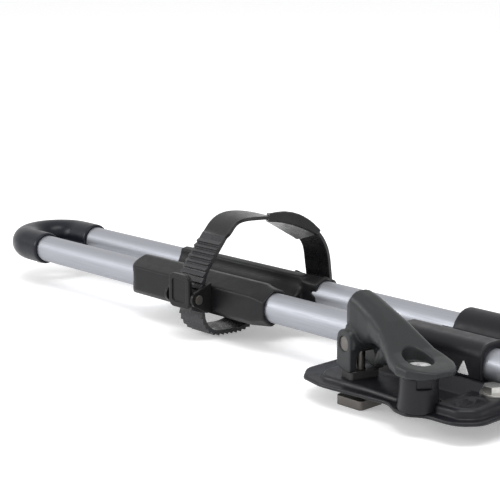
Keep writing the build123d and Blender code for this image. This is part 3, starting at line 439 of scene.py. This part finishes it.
# Web from the knuckle to the underside of the pad, in the same order
WEB_SECTIONS = (
    (5.0, 12.0, 34.0, 2.2, 9.5), (13.0, 15.0, 36.0, 4.0, 8.4), (24.0, 19.4, 38.0, 6.8, 6.4),
    (36.0, 23.4, 36.0, 10.6, 4.2), (48.0, 24.8, 33.0, 14.6, 2.2),
)
SECTION_ROUNDNESS = 0.8    # corner radius, as a share of a section's smaller half
# Side views by reach, height and corner radius, and the depths between which each form lies
KNUCKLE = ((0, 11.4, 0), (7.5, 11.4, 2), (7.5, 36, 6), (-7, 36, 6), (-7, 13.4, 2))
KNUCKLE_DEPTHS = (-12, 12)
BROW = ((-1, 25.2, 0), (8.4, 25.2, 1), (9.2, 29, 2), (6, 35, 3), (-1, 40, 1))
BROW_DEPTHS = (-10.2, 9)
# Front view of the knuckle's arch by depth, height and corner radius, and the reaches it lies between
ARCH = ((-7.4, 5, 0), (7.4, 5, 0), (7.4, 25, 7.3), (-7.4, 25, 7.3))
ARCH_REACHES = (0, 20)
# Room in the fork for the T-bolt and the trunnion, and the pin's bore
FORK_POCKET = ((-2.2, 21), 11.6, 21)
FORK_DEPTHS = (-7.6, 7.6)
PIN_CENTRE = (0, 27.6)
PIN_BORE = 4.5
PIN_BORE_DEPTHS = (-30, 30)
TRUNNION_ROOM = 6.6
# Oval dish in the pad, and the lock barrel's bore below it
DISH_CENTRE = LOCK_REACH - 1.8
DISH_HALF_LENGTH = 9.6
DISH_HALF_WIDTH = 8.1
DISH_FLOOR = 27.7
BARREL_BORE = 7.9


def along_lever(name, sections):
    rings = []
    for reach, low, high, half_width, aside in sections:
        radius = SECTION_ROUNDNESS * min(half_width, (high - low) / 2)
        outline = slab((aside, (low + high) / 2), 2 * half_width, high - low, radius)
        rings.append([(reach, p.x, p.y) for p in outline])
    return skin(name, rings)


def across_lever(name, outline, depths):
    return skin(name, [[(p.x, depth, p.y) for p in outline] for depth in depths])


def make_lever():
    """The hooded lever as one moulding: fin, web, pad, knuckle with its arch, and lock seat."""
    knuckle = across_lever("knuckle", rounded(KNUCKLE), KNUCKLE_DEPTHS)
    arch = skin("arch", [[(reach, p.x, p.y) for p in rounded(ARCH)] for reach in ARCH_REACHES])
    carve(knuckle, removed=[arch])
    lever = along_lever("lever", FIN_SECTIONS)
    web = along_lever("web", WEB_SECTIONS)
    brow = across_lever("brow", rounded(BROW), BROW_DEPTHS)
    pocket = across_lever("pocket", slab(*FORK_POCKET), FORK_DEPTHS)
    trunnion = across_lever("trunnion", disc(PIN_CENTRE, TRUNNION_ROOM), FORK_DEPTHS)
    bore = across_lever("bore", disc(PIN_CENTRE, PIN_BORE), PIN_BORE_DEPTHS)
    oval = [
        Vector((DISH_CENTRE + DISH_HALF_LENGTH * p.x, DISH_HALF_WIDTH * p.y))
        for p in disc((0, 0), 1)
    ]
    dish = block("dish", oval, DISH_FLOOR, ABOVE)
    barrel_bore = block("barrel_bore", disc((LOCK_REACH, 0), BARREL_BORE), BELOW, ABOVE)
    carve(lever, added=[web, knuckle, brow], removed=[pocket, trunnion, bore, dish, barrel_bore])
    melt(lever, voxel=0.5, rounds=14, keep=0.5)
    turn_to_lever(lever)
    return lever


# The plate's outlines by x, y and corner radius
FLANGE = (
    (-39, -66, 14), (-29, -79, 8), (-11, -83.5, 30), (37.4, -79.5, 12), (47, -86, 10),
    (57, -88.2, 8), (66, -82, 12), (86.5, -81, 14), (96.5, -70, 14), (96.5, 66, 16),
    (76.5, 84, 18), (-21, 84, 16), (-39, 68, 14),
)
PLATE_BODY = (
    (-24, -66, 10), (-17, -76, 6), (20, -75.2, 30), (POST_X, -77.5, 30), (89.5, -74, 12),
    (89.5, 62, 14), (72.5, 77, 12), (-13, 77, 12), (-24, 64, 14),
)
LOBE = ((66, -76.7, 4), (84.2, -75.8, 7), (91.3, -68, 9), (91.3, -37, 5), (66, -37, 5))
LOBE_DISH = ((80, -60), 14.5, 21, 7.2)
LOBE_SLOT = ((79, -60), 4.4, 15, 2.1, 18)
LAND = ((35, 0), 76, 74, 4)
LAND_HOLLOW = ((35, 0), 71, 69, 3)
BOSS_RADIUS = 14.5
BOLT_SLOT = (11, 6.8, 3.3)
BAY_RADIUS = 14.6
BAY_REACH = 40
NEAR_WALL = -36.1
FAR_WALL = 36.2
BEAD_ENDS = (-4, 73.5)
BEAD_WIDTH = 12
# Heights. The raised forms start inside the flange, and the bay goes a little below the flange's top,
# so that nothing of the body is left on it as a film.
SHEET = 2.4
FLANGE_LOW = 1.6
FLANGE_TOP = 4.0
FORMS_LOW = 3.0
RAISED_TOP = 9.5
LOBE_DISH_FLOOR = 8.7
LOBE_SLOT_FLOOR = 7.8
LOBE_HOLLOW_TOP = 6.6
BAY_FLOOR = 3.99
BEAD_LOW = 5.5
BEAD_TOP = 13.6


def post_bay(name, radius, low):
    """Room for the post's round foot, open towards the plate's near edge."""
    way_out = slab((POST_X, POST_Y - BAY_REACH / 2), 2 * radius, BAY_REACH)
    round_end = disc((POST_X, POST_Y), radius)
    return [block(name, way_out, low, ABOVE), block(name + "_end", round_end, low, ABOVE)]


def bead(name, wall, width):
    """Ridge pressed up along one side of the saddle, sloping outwards from its wall."""
    crest = wall + width / 6
    profile = ((wall, BEAD_LOW), (wall, BEAD_TOP), (crest, BEAD_TOP), (wall + width, BEAD_LOW))
    return skin(name, [[(x, y, z) for y, z in profile] for x in BEAD_ENDS])


def make_plate():
    """The stamped plate: low body in a wide flange, lobe for the bolt, land under the saddle."""
    plate = block("plate", rounded(FLANGE), FLANGE_LOW, FLANGE_TOP, edge=0.8)
    body = block("body", rounded(PLATE_BODY), FORMS_LOW, PLATE_BODY_TOP, edge=1.6)
    carve(body, removed=post_bay("bay", BAY_RADIUS, BAY_FLOOR))
    lobe = block("lobe", rounded(LOBE), FORMS_LOW, RAISED_TOP, edge=2.6)
    dished = block("dished", slab(*LOBE_DISH), LOBE_DISH_FLOOR, ABOVE)
    pressed = block("pressed", slab(*LOBE_SLOT), LOBE_SLOT_FLOOR, ABOVE)
    carve(lobe, removed=[dished, pressed])
    land = block("land", slab(*LAND), FORMS_LOW, RAISED_TOP, edge=2.0)
    boss = block("boss", disc((0, -BOLT_Y), BOSS_RADIUS), FORMS_LOW, RAISED_TOP, edge=2.4)
    near_bead = bead("near_bead", NEAR_WALL, -BEAD_WIDTH)
    far_bead = bead("far_bead", FAR_WALL, BEAD_WIDTH)
    hollow = block("hollow", inset(rounded(PLATE_BODY), SHEET), BELOW, PLATE_BODY_TOP - SHEET)
    carve(hollow, removed=post_bay("kept", BAY_RADIUS + SHEET, 2 * BELOW))
    lobe_hollow = block("lobe_hollow", inset(rounded(LOBE), SHEET), BELOW, LOBE_HOLLOW_TOP)
    land_hollow = block("land_hollow", slab(*LAND_HOLLOW), BELOW, RAISED_TOP - SHEET)
    slots = [block("slot", slab((0, y), *BOLT_SLOT), BELOW, ABOVE) for y in (BOLT_Y, -BOLT_Y)]
    carve(
        plate,
        added=[body, lobe, land, boss, near_bead, far_bead],
        removed=[hollow, lobe_hollow, land_hollow, *slots],
    )
    melt(plate, voxel=0.65, rounds=6, keep=0.4)
    return plate


# The lock post's height and radius, from its foot to the rim and down its bore
POST_PROFILE = (
    (4.0, 11.9), (5.6, 11.7), (12.0, 11.2), (23.0, 10.7), (23.8, 10.0), (23.8, 8.2), (10.0, 8.2),
)
# Its window looks this way, and its middle lies this far from the post's
WINDOW_TURN = LEVER_TURN - math.radians(18)
WINDOW_REACH = 10.4
WINDOW_SIZE = (3.2, 9, 0.2)
WINDOW_SILL = 17.6


def make_post():
    """The post that the lever's lock catches, with a square window in its rim."""
    rings = [
        [(p.x, p.y, height) for p in disc((POST_X, POST_Y), radius)]
        for height, radius in POST_PROFILE
    ]
    post = skin("post", rings)
    outwards = Vector((math.cos(WINDOW_TURN), math.sin(WINDOW_TURN)))
    centre = Vector((POST_X, POST_Y)) + WINDOW_REACH * outwards
    window = slab(centre, *WINDOW_SIZE, math.degrees(WINDOW_TURN))
    carve(post, removed=[block("window", window, WINDOW_SILL, ABOVE)])
    melt(post, voxel=0.4, rounds=2)
    return post


WEAR_BLOCK = ((0, 0), 12, 20, 2)
WEAR_BLOCK_TOP = 11.0
WEAR_BORE = 3.6


def make_wear_block():
    """The block that the lever's cam presses on, with the T-bolt's hole."""
    wear = block("wear_block", slab(*WEAR_BLOCK), PLATE_BODY_TOP, WEAR_BLOCK_TOP)
    carve(wear, removed=[block("wear_bore", disc((0, 0), WEAR_BORE), BELOW, ABOVE)])
    turn_to_lever(wear)
    return wear


PAD_COVER = ((30, 0), 200, 240)


def make_pad():
    """The rubber pad, without the part that would stand through the low plate."""
    pad = copy_of("rear_rubber_pad", "pad")
    carve(pad, removed=[block("above", slab(*PAD_COVER), FORMS_LOW, ABOVE)])
    return pad


def place_foot_pieces():
    makers = {
        "cam_lever": make_lever, "base_plate": make_plate, "lock_post": make_post,
        "cam_washer": make_wear_block, "rubber_pad": make_pad,
    }
    patterns = {kind: make() for kind, make in makers.items()}
    for prefix, foot_x in FEET.items():
        for kind, pattern in patterns.items():
            obj = new_object(prefix + kind + "_shaped", pattern.data.copy())
            obj.data.transform(Matrix.Translation((foot_x, 0, 0)))
            stand_in(prefix + kind, obj)
            # The wear block is dressed black; its dark colour also paints the shade of the gap under the
            # knuckle.
            if kind == "cam_washer":
                dress(obj, "black_steel")
    for pattern in patterns.values():
        bpy.data.objects.remove(pattern)


MARK = ((52, 15.0, 0.5), (60, 15.0, 0.5), (56, 23.4, 0.5))
MARK_DEPTHS = (-35.6, -36.25)


def place_marks():
    """Raised white triangle on each saddle's near wall, the fitting arrow."""
    outline = rounded(MARK, steps=3)
    for prefix, foot_x in FEET.items():
        mark = skin(prefix + "mark", [[(p.x, y, p.y) for p in outline] for y in MARK_DEPTHS])
        mark.data.transform(Matrix.Translation((foot_x, 0, 0)))
        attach(mark, BODY_OF[prefix + "tube_saddle"])
        dress(mark, "mark_paint")


# Mouldings that keep the shape of their CAD nodes, with rounded edges

# Each node's voxel in millimetres and its rounds of smoothing
SMOOTHING = {
    "jaw_head": (0.8, 5), "moving_jaw": (0.8, 5), "arm_bracket": (0.8, 5), "arm_hub": (0.8, 5),
    "clamp_knob": (0.6, 6), "fixed_jaw_pad": (0.5, 4), "moving_jaw_pad": (0.5, 4),
}
SMOOTHING_AT_BOTH_ENDS = {
    "end_loop": (0.9, 6), "wheel_holder": (0.9, 9), "tube_saddle": (0.8, 4), "rim_guard": (0.6, 6),
}
# The holder's stretch starts and is whole at these distances from its rear end
HOLDER_STRETCH = 4 * MM
HOLDER_STRETCH_START = 60 * MM
HOLDER_STRETCH_WHOLE = 20 * MM


def soft_copy(node, voxel, rounds):
    """A moulding with all its edges rounded off, from the CAD node's own surface."""
    obj = copy_of(node, node + "_moulded")
    melt(obj, voxel, rounds)
    stand_in(node, obj)
    return obj


def stretch_holder(holder):
    """Draws the rear end of a wheel holder out along the tubes."""
    rear_end = min(vertex.co.x for vertex in holder.data.vertices)
    for vertex in holder.data.vertices:
        inside = rear_end + HOLDER_STRETCH_START - vertex.co.x
        share = inside / (HOLDER_STRETCH_START - HOLDER_STRETCH_WHOLE)
        vertex.co.x -= HOLDER_STRETCH * min(max(share, 0), 1)


def place_mouldings():
    for node, smoothing in SMOOTHING.items():
        soft_copy(node, *smoothing)
    for prefix in FEET:
        for kind, smoothing in SMOOTHING_AT_BOTH_ENDS.items():
            obj = soft_copy(prefix + kind, *smoothing)
            if kind == "wheel_holder":
                stretch_holder(obj)


# Dark dull steel for these pins and bolts; on the cam pin it also paints the shade of the recess its end
# sits in.
DULL_PIECES = ("cam_pin", "near_t_bolt", "far_t_bolt", "buckle_pin", "buckle_spring", "strap_pin")


def dress_nodes():
    for node, obj in NODES.items():
        dress(obj, SLOT_OF[node])
    for prefix in FEET:
        for kind in DULL_PIECES:
            dress(NODES[prefix + kind], "dull_steel")


make_tubes()
place_foot_pieces()
place_mouldings()
dress_nodes()
place_marks()


# Camera, floor and light

FLOOR_Z = -0.0107
FLOOR_HALF_WIDTH = 60.0
FLOOR_COLOUR = (0.94, 0.94, 0.95)
FLOOR_ROUGHNESS = 0.8
FLOOR_LIFT = 0.32          # glow that takes the pale floor to white where it is seen
LIGHT_FROM_WORLD = 0.65    # strength of the white world as a light,
SEEN_WORLD = 1.0           # and where it is seen
CAMERA_PLACE = (0.5332, -0.6572, 0.2571)
CAMERA_DIRECTION = (-0.7076, 0.6733, -0.2143)

scene = bpy.context.scene


def aim(obj, place, direction):
    """Puts a camera or lamp in the scene, at a place and looking in a direction."""
    obj.location = place
    obj.rotation_euler = Vector(direction).to_track_quat("-Z", "Y").to_euler()
    scene.collection.objects.link(obj)


def seen_share(tree):
    """1 for camera, mirror and glass rays, 0 for the light that falls on the object."""
    path = add_node(tree, "LightPath", {})
    share = path.outputs["Is Camera Ray"]
    for kind in ("Is Glossy Ray", "Is Transmission Ray"):
        inputs = {0: share, 1: path.outputs[kind]}
        share = add_node(tree, "Math", inputs, operation="MAXIMUM").outputs[0]
    return share


def make_camera():
    data = bpy.data.cameras.new("camera")
    data.lens = 102.4
    data.sensor_width = 36.0
    data.clip_start = 0.01
    camera = bpy.data.objects.new("camera", data)
    aim(camera, CAMERA_PLACE, CAMERA_DIRECTION)
    scene.camera = camera


def make_floor():
    signs = ((-1, -1), (1, -1), (1, 1), (-1, 1))
    corners = [(x * FLOOR_HALF_WIDTH, y * FLOOR_HALF_WIDTH, FLOOR_Z) for x, y in signs]
    mesh = bpy.data.meshes.new("floor")
    mesh.from_pydata(corners, [], [(0, 1, 2, 3)])
    look = bpy.data.materials.new("floor")
    look.use_nodes = True
    tree = look.node_tree
    lift = add_node(tree, "Math", {0: seen_share(tree), 1: FLOOR_LIFT}, operation="MULTIPLY")
    feed(tree, tree.nodes["Principled BSDF"], {
        "Base Color": FLOOR_COLOUR, "Roughness": FLOOR_ROUGHNESS,
        "Emission Color": WHITE, "Emission Strength": lift.outputs[0],
    })
    mesh.materials.append(look)
    new_object("floor", mesh)


def make_world():
    world = bpy.data.worlds.new("world")
    scene.world = world
    world.use_nodes = True
    tree = world.node_tree
    inputs = {"Value": seen_share(tree), "To Min": LIGHT_FROM_WORLD, "To Max": SEEN_WORLD}
    strength = add_node(tree, "MapRange", inputs).outputs["Result"]
    feed(tree, tree.nodes["Background"], {"Color": WHITE, "Strength": strength})


def make_lamp(name, place, target, size, power):
    data = bpy.data.lights.new(name, "AREA")
    data.shape = "RECTANGLE"
    data.size, data.size_y = size
    data.energy = power
    aim(bpy.data.objects.new(name, data), place, Vector(target) - Vector(place))


make_camera()
make_floor()
make_world()
make_lamp("key", place=(0.6, -0.4, 2.2), target=(0.2, 0, 0), size=(2.0, 0.8), power=30)
make_lamp("side", place=(-1.2, -1.6, 0.9), target=(0, 0, 0), size=(1.2, 0.7), power=18)

scene.view_settings.view_transform = "Standard"
